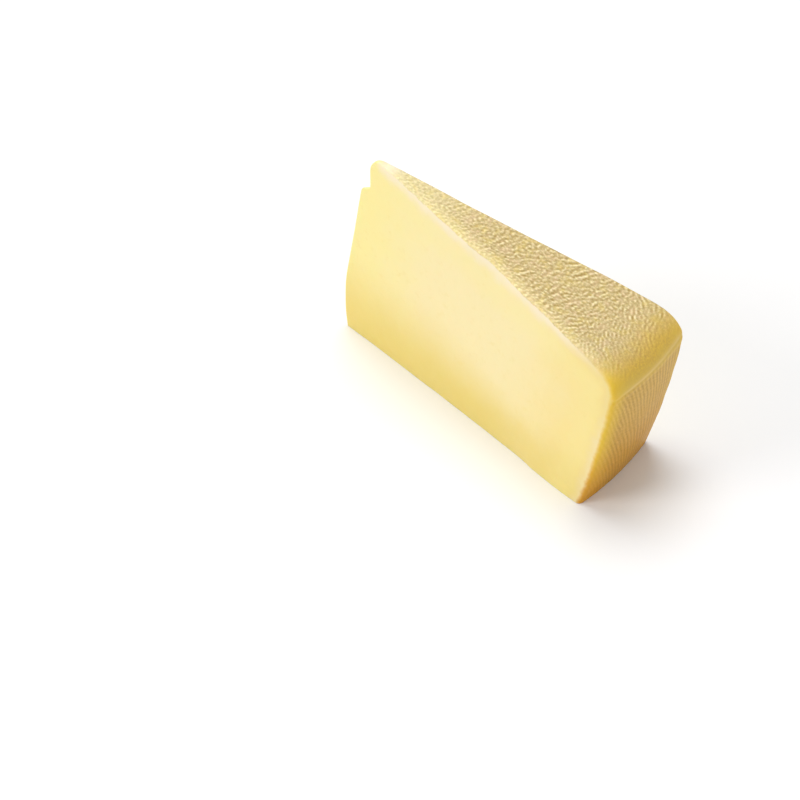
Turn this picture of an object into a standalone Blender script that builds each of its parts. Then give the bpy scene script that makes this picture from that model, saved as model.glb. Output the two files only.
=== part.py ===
"""A chunk of parmesan: a narrow sector of a wheel, standing on a slanted cut.

The flat rind of the wheel is on top and leans down towards the rim. Two radial cuts make the tall
sides, the outer rim closes the wide end, and the nose is the trimmed point of the sector. Sizes are
in metres. The wheel's axis leans by LEAN, so the slanted cut underneath is level and at height 0.
The finished chunk has its origin at the middle of its box, on the ground.
"""

import math

import bmesh
import bpy
from mathutils import Vector, noise

# The wheel and the sector cut from it
RIM_RADIUS = 0.1925
SECTOR_ANGLE = math.radians(18.0)
LEAN = math.radians(9.7)
NOSE_HEIGHT = 0.1314

# The rounded shoulder between the flat rind and the rim
SHOULDER_REACH = 0.0220
SHOULDER_DEPTH = 0.0154
SHOULDER_POWER = 2.3

# The rim below the shoulder flares a little, then tucks in towards the ground
RIM_FLARE = 0.048
RIM_TUCK = 0.90

# The seam of the mould is two low ridges, the stronger one on the shoulder and the other on the rim
SEAM_DEPTH = 0.0128
SEAM_GAP = 0.0056
SEAM_WIDTH = 0.0012
SEAM_RISE = 0.0005
SEAM_LOWER_SHARE = 0.55

# The trimmed nose tucks in near the ground. High up a sloping ledge leads back to a notch, and over
# it stands a rounded nub
NOSE_RADIUS = 0.0046
NOSE_TUCK = 3.8
NOSE_TUCK_DEPTH = 0.088
LEDGE_DEPTH = 0.0262
NOTCH_RADIUS = 0.0100
NOTCH_DEPTH = 0.0220
NUB_RADIUS = 0.0077
NUB_LENGTH = 0.0062
NUB_HEIGHT = 0.0090

# The cut in front is a little hollow, its upper edge is chipped, and a flake stands out at its foot
HOLLOW_DEPTH = 0.0013
HOLLOW_END = 0.150
CHIP_DEPTH = 0.0013
CHIP_RADIUS = 0.101
CHIP_LENGTH = 0.013
CHIP_HEIGHT = 0.012
FLAKE_START = 0.152
FLAKE_LENGTH = 0.046
FLAKE_HEIGHT = 0.007
FLAKE_DEPTH = 0.0012

# Every face is slightly uneven
UNEVEN_SIZE = 0.050
UNEVEN_DEPTH = 0.0005
RIPPLE_SIZE = 0.016
RIPPLE_DEPTH = 0.0002
UNEVEN_FADE = 0.004
AXIS_SPACING = 17.3

# Rows and columns of faces
ROWS_ON_FLAT = 26
ROWS_ON_ROUND = 5
ROWS_UP_ROUND = 9
ROWS_ON_RIM = 13
ROWS_ON_SEAM = 6
COLUMNS_ACROSS = 14

# The look of the cheese
CHEESE_COLOUR = (0.91, 0.79, 0.42, 1.0)
CHEESE_ROUGHNESS = 0.55


def blend(start, end, share):
    """Returns the value that lies at this share of the way from start to end."""
    return start + (end - start) * share


def smooth_step(value):
    """Returns 0 below 0, 1 above 1, and a smooth rise between."""
    value = min(max(value, 0.0), 1.0)
    return value * value * (3.0 - 2.0 * value)


def base_depth(radius, angle):
    """Returns how far below the flat rind, along the wheel's axis, the ground lies."""
    return NOSE_HEIGHT - radius * math.cos(angle) * math.tan(LEAN)


def seam_rise(depth):
    """Returns how far the seam's two ridges stand out at this depth below the flat rind."""
    upper = math.exp(-(((depth - SEAM_DEPTH) / SEAM_WIDTH) ** 2))
    lower = math.exp(-(((depth - SEAM_DEPTH - SEAM_GAP) / SEAM_WIDTH) ** 2))
    return SEAM_RISE * (upper + SEAM_LOWER_SHARE * lower)


def rim_radius(depth):
    """Returns the rim's radius at this depth below the flat rind, with the seam's lower ridge."""
    below = depth - SHOULDER_DEPTH
    return RIM_RADIUS + RIM_FLARE * below - RIM_TUCK * below**2 + seam_rise(depth)


def rim_foot(angle):
    """Returns the depth at which the rim meets the ground."""
    depth = base_depth(RIM_RADIUS, angle)
    for _ in range(12):
        depth = base_depth(rim_radius(depth), angle)
    return depth


def shoulder(turn):
    """Returns radius and depth on the shoulder, for a turn from 0 at the flat to 1 at the rim."""
    theta = turn * math.pi / 2.0
    power = 2.0 / SHOULDER_POWER
    inner = RIM_RADIUS - SHOULDER_REACH
    radius = inner + SHOULDER_REACH * math.sin(theta) ** power
    depth = SHOULDER_DEPTH * (1.0 - max(math.cos(theta), 0.0) ** power)
    return radius + seam_rise(depth), depth


def nub(turn):
    """Returns radius and depth on the nub's round, for a turn from 0 in front to 1 on top."""
    theta = turn * math.pi / 2.0
    radius = NUB_RADIUS + NUB_LENGTH * (1.0 - math.cos(theta))
    depth = NUB_HEIGHT * (1.0 - math.sin(theta))
    return radius, depth


def nose_radius(depth):
    """Returns the nose's radius at this depth, under the ledge."""
    return NOSE_RADIUS + NOSE_TUCK * max(depth - NOSE_TUCK_DEPTH, 0.0) ** 2


def top_curve():
    """Returns (radius, depth) from the nub's round over the flat rind to mid shoulder."""
    points = [nub(blend(0.5, 1.0, step / ROWS_ON_ROUND)) for step in range(ROWS_ON_ROUND)]
    start = nub(1.0)[0]
    end = shoulder(0.0)[0]
    points += [(blend(start, end, step / ROWS_ON_FLAT), 0.0) for step in range(ROWS_ON_FLAT)]
    steps = range(ROWS_ON_ROUND + 1)
    return points + [shoulder(0.5 * step / ROWS_ON_ROUND) for step in steps]


def rim_curve(angle):
    """Returns (radius, depth) from the rim's foot up to mid shoulder."""
    foot = rim_foot(angle)
    below_seam = SEAM_DEPTH + SEAM_GAP + 2.0 * SEAM_WIDTH
    depths = [blend(foot, below_seam, row / ROWS_ON_RIM) for row in range(ROWS_ON_RIM)]
    depths += [blend(below_seam, SHOULDER_DEPTH, row / ROWS_ON_SEAM) for row in range(ROWS_ON_SEAM)]
    points = [(rim_radius(depth), depth) for depth in depths]
    steps = range(ROWS_UP_ROUND + 1)
    return points + [shoulder(1.0 - 0.5 * step / ROWS_UP_ROUND) for step in steps]


def nose_curve(angle):
    """Returns (radius, depth) from the nose's foot up to the middle of the nub's round."""
    foot = base_depth(NOSE_RADIUS, angle)
    for _ in range(12):
        foot = base_depth(nose_radius(foot), angle)
    depths = [blend(foot, LEDGE_DEPTH, row / ROWS_ON_RIM) for row in range(ROWS_ON_RIM)]
    points = [(nose_radius(depth), depth) for depth in depths]
    stops = ((NOSE_RADIUS, LEDGE_DEPTH), (NOTCH_RADIUS, NOTCH_DEPTH), nub(0.0))
    rows = ROWS_ON_SEAM // 2
    for low, high in zip(stops, stops[1:]):
        for row in range(rows):
            share = row / rows
            points.append((blend(low[0], high[0], share), blend(low[1], high[1], share)))
    return points + [nub(0.5 * step / ROWS_UP_ROUND) for step in range(ROWS_UP_ROUND + 1)]


def section(angle):
    """Returns a function that gives (radius, depth) at a row and a level of the upright section.

    The four curves round the section are joined by a Coons patch, so the rows run from the nose to
    the rim and the levels from the ground to the top.
    """
    top = top_curve()
    rim = rim_curve(angle)
    nose = nose_curve(angle)
    last_row = len(top) - 1
    last_level = len(rim) - 1

    def bottom(row):
        radius = blend(nose[0][0], rim[0][0], row / last_row)
        return radius, base_depth(radius, angle)

    def point(row, level):
        across = row / last_row
        up = level / last_level
        low = bottom(row)
        values = []
        for axis in (0, 1):
            between = blend(low[axis], top[row][axis], up)
            sides = blend(nose[level][axis], rim[level][axis], across)
            lower = blend(nose[0][axis], rim[0][axis], across)
            upper = blend(top[0][axis], top[-1][axis], across)
            values.append(between + sides - blend(lower, upper, up))
        return values

    return point, last_row, last_level


def front_hollow(radius, depth):
    """Returns how far the cut in front stands in from the sector's plane."""
    hollow = HOLLOW_DEPTH * math.sin(math.pi * min(radius / HOLLOW_END, 1.0)) ** 0.5
    chip = CHIP_DEPTH * math.exp(-(((radius - CHIP_RADIUS) / CHIP_LENGTH) ** 2))
    return hollow + chip * (1.0 - smooth_step(depth / CHIP_HEIGHT))


def nearness_to_front(angle):
    """Returns 1 at the cut in front and 0 from the middle of the sector backwards."""
    return max(-2.0 * angle / SECTOR_ANGLE, 0.0)


def to_space(radius, depth, angle):
    """Returns the point in space of a place on the leaning wheel."""
    height = NOSE_HEIGHT - depth
    out = radius * math.cos(angle)
    x = out * math.cos(LEAN) + height * math.sin(LEAN)
    z = height * math.cos(LEAN) - out * math.sin(LEAN)
    y = radius * math.sin(angle) + nearness_to_front(angle) * front_hollow(radius, depth)
    return Vector((x, y, z))


def drift(point, size):
    """Returns a smooth, unsteady vector between -1 and 1 that changes over lengths of this size."""
    spot = point / size
    values = [noise.noise(spot + Vector((axis * AXIS_SPACING, 0.0, 0.0))) for axis in range(3)]
    return Vector(values)


def uneven(point, to_front):
    """Returns the point moved by the unevenness of a hand cut, with the ground kept level."""
    fade = smooth_step(point.z / UNEVEN_FADE)
    shift = drift(point, UNEVEN_SIZE) * UNEVEN_DEPTH
    shift += drift(point, RIPPLE_SIZE) * RIPPLE_DEPTH
    along = (point.x - FLAKE_START) / FLAKE_LENGTH
    if 0.0 < along < 1.0:
        flake = math.sin(math.pi * along) ** 0.5 * (1.0 - smooth_step(point.z / FLAKE_HEIGHT))
        shift.y -= to_front * FLAKE_DEPTH * flake
    return Vector((point.x + shift.x, point.y + shift.y, point.z + shift.z * fade))


def chunk_mesh():
    """Returns the closed surface of the chunk, one sheet of faces on each of its six sides."""
    shape = bmesh.new()
    angles = [
        blend(-0.5, 0.5, column / COLUMNS_ACROSS) * SECTOR_ANGLE
        for column in range(COLUMNS_ACROSS + 1)
    ]
    sections = [section(angle) for angle in angles]
    _, last_row, last_level = sections[0]
    corners = {}

    def corner(row, column, level):
        key = (row, column, level)
        if key not in corners:
            place = to_space(*sections[column][0](row, level), angles[column])
            place = uneven(place, nearness_to_front(angles[column]))
            if level == 0:
                place.z = 0.0
            corners[key] = shape.verts.new(place)
        return corners[key]

    def face(*keys):
        shape.faces.new([corner(*key) for key in keys])

    for row in range(last_row):
        for column in range(COLUMNS_ACROSS):
            ring = ((row, column), (row + 1, column), (row + 1, column + 1), (row, column + 1))
            face(*((at, across, last_level) for at, across in ring))
        for level in range(last_level):
            ring = ((row, level), (row + 1, level), (row + 1, level + 1), (row, level + 1))
            for column in (0, COLUMNS_ACROSS):
                face(*((at, column, up) for at, up in ring))
    for column in range(COLUMNS_ACROSS):
        for level in range(last_level):
            ring = (
                (column, level),
                (column + 1, level),
                (column + 1, level + 1),
                (column, level + 1),
            )
            for row in (0, last_row):
                face(*((row, across, up) for across, up in ring))
    edge = [(row, 0, 0) for row in range(last_row)]
    edge += [(last_row, column, 0) for column in range(COLUMNS_ACROSS)]
    edge += [(row, COLUMNS_ACROSS, 0) for row in range(last_row, 0, -1)]
    edge += [(0, column, 0) for column in range(COLUMNS_ACROSS, 0, -1)]
    face(*edge)
    bmesh.ops.recalc_face_normals(shape, faces=shape.faces)
    return shape


def centre(shape):
    """Moves the shape so that the middle of its box is over the origin."""
    for axis in (0, 1):
        places = [vert.co[axis] for vert in shape.verts]
        middle = (min(places) + max(places)) / 2.0
        for vert in shape.verts:
            vert.co[axis] -= middle


def cheese_material():
    """Returns the plain material of the cheese."""
    material = bpy.data.materials.new("parmesan")
    material.use_nodes = True
    shader = material.node_tree.nodes["Principled BSDF"]
    shader.inputs["Base Color"].default_value = CHEESE_COLOUR
    shader.inputs["Roughness"].default_value = CHEESE_ROUGHNESS
    shader.inputs["Metallic"].default_value = 0.0
    return material


def build_chunk():
    """Adds the chunk to the scene as one object."""
    shape = chunk_mesh()
    centre(shape)
    mesh = bpy.data.meshes.new("parmesan_chunk")
    shape.to_mesh(mesh)
    shape.free()
    mesh.shade_smooth()
    mesh.set_sharp_from_angle(angle=math.radians(40.0))
    mesh.materials.append(cheese_material())
    chunk = bpy.data.objects.new("parmesan_chunk", mesh)
    bpy.context.scene.collection.objects.link(chunk)


def main():
    for item in list(bpy.data.objects):
        bpy.data.objects.remove(item)
    build_chunk()


main()
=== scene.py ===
"""A chunk of parmesan, dressed for its portrait.

The chunk is a narrow sector of a wheel that leans until the slanted cut under it is level. Its skin is
one closed surface: the rind on the flat, the shoulder and the rim, the trimmed nose, and the paste of
the cuts. Places on it are given as a radius from the wheel's axis, a depth below the flat and an angle
round the axis. Lengths are in metres.
"""

import sys

import logging
import math
from collections.abc import Callable, Sequence
from dataclasses import dataclass, field
from enum import Enum
from typing import Any

import bmesh
import bpy
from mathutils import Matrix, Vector, geometry, kdtree, noise


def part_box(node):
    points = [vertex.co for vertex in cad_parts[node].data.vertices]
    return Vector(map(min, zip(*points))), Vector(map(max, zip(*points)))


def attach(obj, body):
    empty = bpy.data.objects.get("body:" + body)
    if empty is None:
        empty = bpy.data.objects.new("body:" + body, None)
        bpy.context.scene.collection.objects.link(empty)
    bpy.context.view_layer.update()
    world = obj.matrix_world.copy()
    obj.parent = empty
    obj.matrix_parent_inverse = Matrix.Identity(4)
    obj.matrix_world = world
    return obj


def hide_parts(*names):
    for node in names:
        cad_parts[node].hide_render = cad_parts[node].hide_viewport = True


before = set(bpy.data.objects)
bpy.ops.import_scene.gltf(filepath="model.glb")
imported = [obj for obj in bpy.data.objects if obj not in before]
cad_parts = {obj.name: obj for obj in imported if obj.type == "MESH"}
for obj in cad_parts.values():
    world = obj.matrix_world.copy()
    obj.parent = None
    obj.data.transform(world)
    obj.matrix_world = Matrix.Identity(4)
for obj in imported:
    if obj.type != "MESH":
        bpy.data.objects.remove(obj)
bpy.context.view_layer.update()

LOG = logging.getLogger("parmesan")
NODE = "parmesan_chunk"

Colour = tuple[float, float, float, float]
Span = tuple[float, float]


def blend(start: float, end: float, share: float) -> float:
    """Returns the value that lies at this share of the way from start to end."""
    return start + (end - start) * share


def smooth_step(low: float, high: float, value: float) -> float:
    """Returns a smooth rise from 0 at low to 1 at high."""
    share = min(max((value - low) / (high - low), 0.0), 1.0)
    return share * share * (3.0 - 2.0 * share)


def paint(red: int, green: int, blue: int) -> Colour:
    """Turns a colour as a screen shows it, from 0 to 255, into the light that it stands for.

    Args:
        red: The red of the screen colour.
        green: The green of the screen colour.
        blue: The blue of the screen colour.

    Returns:
        The linear colour, with full opacity.
    """
    levels = [part / 255.0 for part in (red, green, blue)]
    linear = [((level + 0.055) / 1.055) ** 2.4 if level > 0.04 else level / 12.92 for level in levels]
    return linear[0], linear[1], linear[2], 1.0


def placed(name: str, data: bpy.types.ID) -> bpy.types.Object:
    """Returns a new object of the scene that shows this data."""
    made = bpy.data.objects.new(name, data)
    bpy.context.scene.collection.objects.link(made)
    return made


# The wheel and its outline


@dataclass(frozen=True)
class Wheel:
    """The wheel that the chunk was cut from."""

    rim_radius: float = 0.1925
    sector: float = math.radians(18.0)
    lean: float = math.radians(9.7)
    nose_height: float = 0.1314
    shoulder_reach: float = 0.0220
    shoulder_depth: float = 0.0154
    shoulder_power: float = 2.3
    flare: float = 0.048
    tuck: float = 0.90
    seam_depth: float = 0.0113
    seam_tilt: float = -0.0027
    seam_gap: float = 0.0046
    seam_width: float = 0.0012
    seam_groove: float = -0.4
    seam_lower: float = 0.30

    def base_depth(self, radius: float, angle: float) -> float:
        """Returns how far below the flat, along the wheel's axis, the ground lies."""
        return self.nose_height - radius * math.cos(angle) * math.tan(self.lean)

    def below_seam(self, depth: float, angle: float) -> float:
        """Returns how far below the upper ridge of the mould's seam a place on the rim is."""
        return depth - self.seam_depth - self.seam_tilt * angle / (self.sector / 2.0)

    def seam(self, depth: float, angle: float) -> float:
        """Returns 1 on the seam's upper ridge, less on its lower one and below 0 in the groove between."""
        below = self.below_seam(depth, angle)
        shares = ((0.0, 1.0), (self.seam_gap / 2.0, self.seam_groove), (self.seam_gap, self.seam_lower))
        return sum(share * math.exp(-(((below - at) / self.seam_width) ** 2)) for at, share in shares)

    def rim_at(self, depth: float) -> float:
        """Returns the rim's radius at this depth."""
        below = depth - self.shoulder_depth
        return self.rim_radius + self.flare * below - self.tuck * below**2

    def shoulder(self, turn: float) -> Vector:
        """Returns radius and depth on the shoulder, for a turn from 0 at the flat to 1 at the rim."""
        theta = turn * math.pi / 2.0
        power = 2.0 / self.shoulder_power
        inner = self.rim_radius - self.shoulder_reach
        radius = inner + self.shoulder_reach * math.sin(theta) ** power
        return Vector((radius, self.shoulder_depth * (1.0 - max(math.cos(theta), 0.0) ** power)))

    def to_space(self, spot: Vector, angle: float) -> Vector:
        """Returns the point in space of a place on the leaning wheel.

        Args:
            spot: Its radius and depth.
            angle: Its angle from the middle of the sector.

        Returns:
            The point, with the middle of the sector along +X.
        """
        height = self.nose_height - spot.y
        out = spot.x * math.cos(angle)
        x = out * math.cos(self.lean) + height * math.sin(self.lean)
        z = height * math.cos(self.lean) - out * math.sin(self.lean)
        return Vector((x, spot.x * math.sin(angle), z))


@dataclass(frozen=True)
class Nose:
    """The trimmed point of the sector, with a ledge, a notch and a nub at its top."""

    radius: float = 0.0046
    tuck: float = 3.8
    tuck_depth: float = 0.088
    ledge_depth: float = 0.0262
    notch: Span = (0.0100, 0.0220)
    nub_radius: float = 0.0077
    nub_length: float = 0.0062
    nub_height: float = 0.0090
    nub_steps: int = 6
    crest_drop: float = 0.0040
    crest_step: float = 0.0008
    soft_passes: int = 3

    def at(self, depth: float) -> float:
        """Returns the nose's radius at this depth, under the ledge."""
        return self.radius + self.tuck * max(depth - self.tuck_depth, 0.0) ** 2

    def nub(self, turn: float) -> Vector:
        """Returns radius and depth on the nub, for a turn from 0 in front to 1 on top."""
        theta = turn * math.pi / 2.0
        radius = self.nub_radius + self.nub_length * (1.0 - math.cos(theta))
        return Vector((radius, self.nub_height * (1.0 - math.sin(theta))))

    def crest(self) -> list[Vector]:
        """Returns the line from just under the ledge over the notch to the top of the nub."""
        stops = [
            Vector((self.radius, self.ledge_depth + self.crest_drop)),
            Vector((self.radius, self.ledge_depth)),
            Vector(self.notch),
        ]
        stops += [self.nub(turn / self.nub_steps) for turn in range(self.nub_steps + 1)]
        line = []
        for low, high in zip(stops, stops[1:]):
            steps = max(1, round((high - low).length / self.crest_step))
            line += [low.lerp(high, step / steps) for step in range(steps)]
        line.append(stops[-1])
        for _ in range(self.soft_passes):
            inner = [(a + 2.0 * b + c) / 4.0 for a, b, c in zip(line, line[1:], line[2:])]
            line = [line[0], *inner, line[-1]]
        return line


@dataclass(frozen=True)
class HandCut:
    """The unevenness that a knife and a hand leave on every side."""

    hollow: float = 0.0013
    hollow_end: float = 0.150
    chip: float = 0.0013
    chip_radius: float = 0.101
    chip_length: float = 0.013
    chip_height: float = 0.012
    flake: float = 0.0012
    flake_start: float = 0.152
    flake_length: float = 0.046
    flake_height: float = 0.007
    wave_size: float = 0.050
    wave: float = 0.0005
    ripple_size: float = 0.016
    ripple: float = 0.0002
    crumb_size: float = 0.0055
    crumb: float = 0.00016
    fade: float = 0.004
    spacing: float = 17.3

    def front_hollow(self, spot: Vector) -> float:
        """Returns how far the cut in front stands in from the sector's plane."""
        wide = self.hollow * math.sin(math.pi * min(spot.x / self.hollow_end, 1.0)) ** 0.5
        chip = self.chip * math.exp(-(((spot.x - self.chip_radius) / self.chip_length) ** 2))
        return wide + chip * (1.0 - smooth_step(0.0, self.chip_height, spot.y))

    def drift(self, point: Vector, size: float) -> Vector:
        """Returns a smooth, unsteady vector that changes over lengths of this size."""
        spot = point / size
        offsets = [Vector((axis * self.spacing, 0.0, 0.0)) for axis in range(3)]
        return Vector([noise.noise(spot + offset) for offset in offsets])

    def apply(self, point: Vector, spot: Vector, to_front: float) -> Vector:
        """Moves a point as the hand cut does, with the ground kept level.

        Args:
            point: The point on the true sector.
            spot: Its radius and depth on the wheel.
            to_front: How near it is to the cut in front, from 0 in the middle to 1.

        Returns:
            The moved point.
        """
        shift = self.drift(point, self.wave_size) * self.wave
        shift += self.drift(point, self.ripple_size) * self.ripple
        shift.z *= smooth_step(0.0, self.fade, point.z)
        shift.y += to_front * self.front_hollow(spot)
        along = (point.x - self.flake_start) / self.flake_length
        if 0.0 < along < 1.0:
            low = 1.0 - smooth_step(0.0, self.flake_height, point.z)
            shift.y -= to_front * self.flake * math.sin(math.pi * along) ** 0.5 * low
        return point + shift

    def crumble(self, point: Vector, depth_in: float) -> Vector:
        """Returns the small break-up of the paste at a point this far in from the cut's edge."""
        share = smooth_step(0.0, self.fade, depth_in)
        return self.drift(point, self.crumb_size) * self.crumb * share


class Stretch(Enum):
    """The stretches of the outline, from the foot of the nose over the top to the foot of the rim."""

    NOSE = "nose"
    FIXED = "fixed"
    RIM = "rim"


@dataclass(frozen=True)
class Station:
    """One row of the rind: where it lies on the outline, and which way the outline faces there."""

    stretch: Stretch
    share: float
    spot: Vector
    outward: Vector


@dataclass
class Outline:
    """The upright outline of the chunk, as rows from the foot of the nose to the foot of the rim."""

    wheel: Wheel
    nose: Nose
    nose_rows: int = 66
    flat_rows: int = 400
    shoulder_rows: int = 62
    seam_rows: int = 22
    rim_rows: int = 92
    seam_span: float = 0.0052
    facing_span: float = 0.0020
    foot_rounds: int = 12
    stations: list[Station] = field(default_factory=list)

    def __post_init__(self) -> None:
        """Lays the rows out at the cut in front."""
        angle = -self.wheel.sector / 2.0
        rows = [(Stretch.NOSE, row / self.nose_rows, Vector()) for row in range(self.nose_rows)]
        fixed = self.nose.crest()
        start = fixed[-1]
        end = self.wheel.shoulder(0.0)
        fixed += [start.lerp(end, row / self.flat_rows) for row in range(1, self.flat_rows)]
        turns = [row / self.shoulder_rows for row in range(self.shoulder_rows)]
        fixed += [self.wheel.shoulder(turn) for turn in turns]
        for row in range(self.seam_rows):
            depth = self.wheel.shoulder_depth + self.seam_span * row / self.seam_rows
            fixed.append(Vector((self.wheel.rim_at(depth), depth)))
        rows += [(Stretch.FIXED, 0.0, spot) for spot in fixed]
        rows += [(Stretch.RIM, row / self.rim_rows, Vector()) for row in range(self.rim_rows + 1)]
        spots = [self.place(stretch, share, spot, angle) for stretch, share, spot in rows]
        for index, (stretch, share, _) in enumerate(rows):
            along = self.far_from(spots, index, 1) - self.far_from(spots, index, -1)
            along.normalize()
            outward = Vector((along.y, -along.x))
            self.stations.append(Station(stretch, share, spots[index], outward))

    def far_from(self, spots: Sequence[Vector], index: int, step: int) -> Vector:
        """Returns the first spot beyond the facing span from this one, or the last there is."""
        at = index
        while 0 <= at + step < len(spots) and (spots[at] - spots[index]).length < self.facing_span:
            at += step
        return spots[at]

    def place(self, stretch: Stretch, share: float, spot: Vector, angle: float) -> Vector:
        """Returns radius and depth of a row at this angle, where the ground cuts the outline off.

        Args:
            stretch: The stretch of the outline that the row belongs to.
            share: How far along that stretch the row lies.
            spot: The row's radius and depth where they don't depend on the angle.
            angle: The angle from the middle of the sector.

        Returns:
            The radius and the depth.
        """
        if stretch is Stretch.FIXED:
            return spot
        profile = self.nose.at if stretch is Stretch.NOSE else self.wheel.rim_at
        foot = self.wheel.base_depth(profile(self.wheel.nose_height), angle)
        for _ in range(self.foot_rounds):
            foot = self.wheel.base_depth(profile(foot), angle)
        if stretch is Stretch.NOSE:
            depth = blend(foot, self.nose.ledge_depth + self.nose.crest_drop, share)
        else:
            depth = blend(self.wheel.shoulder_depth + self.seam_span, foot, share)
        return Vector((profile(depth), depth))


# The skin


@dataclass(frozen=True)
class Mark:
    """What the relief and the finishes need to know about one point of the skin."""

    inside: float
    edge: float
    flat: float
    rim: float
    seam: float
    cloth: Vector
    wheel: Vector


@dataclass
class Skin:
    """The points, marks and faces of one closed surface."""

    points: list[Vector] = field(default_factory=list)
    marks: list[Mark] = field(default_factory=list)
    faces: list[tuple[int, ...]] = field(default_factory=list)
    border_gap: float = 0.6
    merge_distance: float = 1e-9

    def add(self, point: Vector, mark: Mark) -> int:
        """Adds a point with its mark and returns its number."""
        self.points.append(point)
        self.marks.append(mark)
        return len(self.points) - 1

    def zip_rows(self, low: Sequence[int], high: Sequence[int]) -> None:
        """Joins two rows of points that span the same width by faces.

        Args:
            low: The numbers of one row's points.
            high: The numbers of the next row's points, which may be more or fewer.
        """
        if len(low) == len(high):
            for index in range(len(low) - 1):
                self.faces.append((low[index], low[index + 1], high[index + 1], high[index]))
            return
        one = 0
        two = 0
        while one < len(low) - 1 or two < len(high) - 1:
            low_next = (one + 1) / (len(low) - 1)
            high_next = (two + 1) / (len(high) - 1)
            if low_next < high_next:
                self.faces.append((low[one], low[one + 1], high[two]))
                one += 1
            else:
                self.faces.append((low[one], high[two + 1], high[two]))
                two += 1

    def fill(
        self, loop: Sequence[int], spots: Sequence[Vector], spacing: float, add: Callable[[Vector], int]
    ) -> None:
        """Fills a closed loop of points with triangles over an even lattice.

        Args:
            loop: The numbers of the points round the loop.
            spots: Their places in the plane of the loop.
            spacing: The distance between the lattice's points.
            add: Adds the point that belongs to a place in the plane, and returns its number.
        """
        border = kdtree.KDTree(len(spots))
        for index, spot in enumerate(spots):
            border.insert(spot.to_3d(), index)
        border.balance()
        lattice = []
        low = Vector((min(spot.x for spot in spots), min(spot.y for spot in spots)))
        high = Vector((max(spot.x for spot in spots), max(spot.y for spot in spots)))
        row_height = spacing * math.sqrt(0.75)
        for row in range(1, math.ceil((high.y - low.y) / row_height)):
            for column in range(math.ceil((high.x - low.x) / spacing)):
                spot = low + Vector(((column + 0.5 * (row % 2)) * spacing, row * row_height))
                if border.find(spot.to_3d())[2] > self.border_gap * spacing:
                    lattice.append(spot)
        everything = [*spots, *lattice]
        outline = list(range(len(spots)))
        made = geometry.delaunay_2d_cdt(everything, [], [outline], 1, self.merge_distance)
        numbers = dict(enumerate(loop))
        for triangle in made[2]:
            corners = []
            for corner in triangle:
                index = made[3][corner][0]
                if index not in numbers:
                    numbers[index] = add(everything[index])
                corners.append(numbers[index])
            self.faces.append(tuple(corners))

    def to_mesh(self, name: str) -> bpy.types.Mesh:
        """Returns the skin as a mesh that faces outwards, with its marks as attributes."""
        mesh = bpy.data.meshes.new(name)
        mesh.from_pydata([tuple(point) for point in self.points], [], self.faces)
        shape = bmesh.new()
        shape.from_mesh(mesh)
        bmesh.ops.recalc_face_normals(shape, faces=shape.faces)
        shape.to_mesh(mesh)
        shape.free()
        for key in ("inside", "edge", "flat", "rim", "seam"):
            values = [getattr(mark, key) for mark in self.marks]
            mesh.attributes.new(key, "FLOAT", "POINT").data.foreach_set("value", values)
        for key in ("cloth", "wheel"):
            values = [part for mark in self.marks for part in getattr(mark, key)]
            mesh.attributes.new(key, "FLOAT_VECTOR", "POINT").data.foreach_set("vector", values)
        mesh.shade_smooth()
        return mesh


# Node trees

# A Gabor texture at a scale of 1 has two waves to the metre
GABOR_UNIT = 0.5


class Value:
    """A socket of a node tree, so that maths on its numbers reads as Python."""

    def __init__(self, tree: "Tree", socket: bpy.types.NodeSocket) -> None:
        """Keeps the tree and the socket."""
        self.tree = tree
        self.socket = socket

    def math(self, operation: str, *parts: Any) -> "Value":
        """Returns the outcome of one Math node on these parts."""
        node = self.tree.node("ShaderNodeMath", {"operation": operation}, dict(enumerate(parts)))
        return Value(self.tree, node.outputs[0])

    def __add__(self, other: Any) -> "Value":
        """Returns this plus the other."""
        return self.math("ADD", self, other)

    def __radd__(self, other: Any) -> "Value":
        """Returns the other plus this."""
        return self.math("ADD", other, self)

    def __sub__(self, other: Any) -> "Value":
        """Returns this less the other."""
        return self.math("SUBTRACT", self, other)

    def __rsub__(self, other: Any) -> "Value":
        """Returns the other less this."""
        return self.math("SUBTRACT", other, self)

    def __mul__(self, other: Any) -> "Value":
        """Returns this times the other."""
        return self.math("MULTIPLY", self, other)

    def __rmul__(self, other: Any) -> "Value":
        """Returns the other times this."""
        return self.math("MULTIPLY", other, self)

    def __truediv__(self, other: Any) -> "Value":
        """Returns this over the other."""
        return self.math("DIVIDE", self, other)

    def __rtruediv__(self, other: Any) -> "Value":
        """Returns the other over this."""
        return self.math("DIVIDE", other, self)

    def step(self, low: Any, high: Any) -> "Value":
        """Returns a smooth rise from 0 at low to 1 at high."""
        settings = {"interpolation_type": "SMOOTHSTEP"}
        node = self.tree.node("ShaderNodeMapRange", settings, {0: self, 1: low, 2: high})
        return Value(self.tree, node.outputs[0])


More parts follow.
